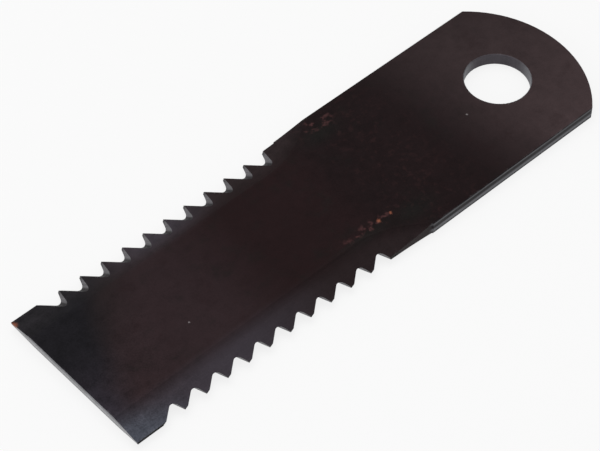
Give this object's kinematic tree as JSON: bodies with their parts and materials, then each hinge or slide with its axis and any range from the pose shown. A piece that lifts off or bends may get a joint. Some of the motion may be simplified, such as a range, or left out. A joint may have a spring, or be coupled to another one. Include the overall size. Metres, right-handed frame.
{
  "type": "straw chopper knife",
  "caption": "Flat steel swinging knife for a straw chopper: rounded head with a bolt hole, both long edges bevelled and serrated, square free end.",
  "frame": {"origin": "centre of the bolt hole on the lower face", "axes": "+Z along the bolt hole, out of the upper face; +X along the knife, from the bolt hole towards the free end"},
  "size_m": [0.1727, 0.05, 0.004],
  "materials": {
    "blade_steel": "dark heat-treatment scale on the flats, ground bevels and teeth, bare sheared end"
  },
  "bodies": {
    "root": {"knife_blade": "blade_steel"}
  },
  "joints": []
}
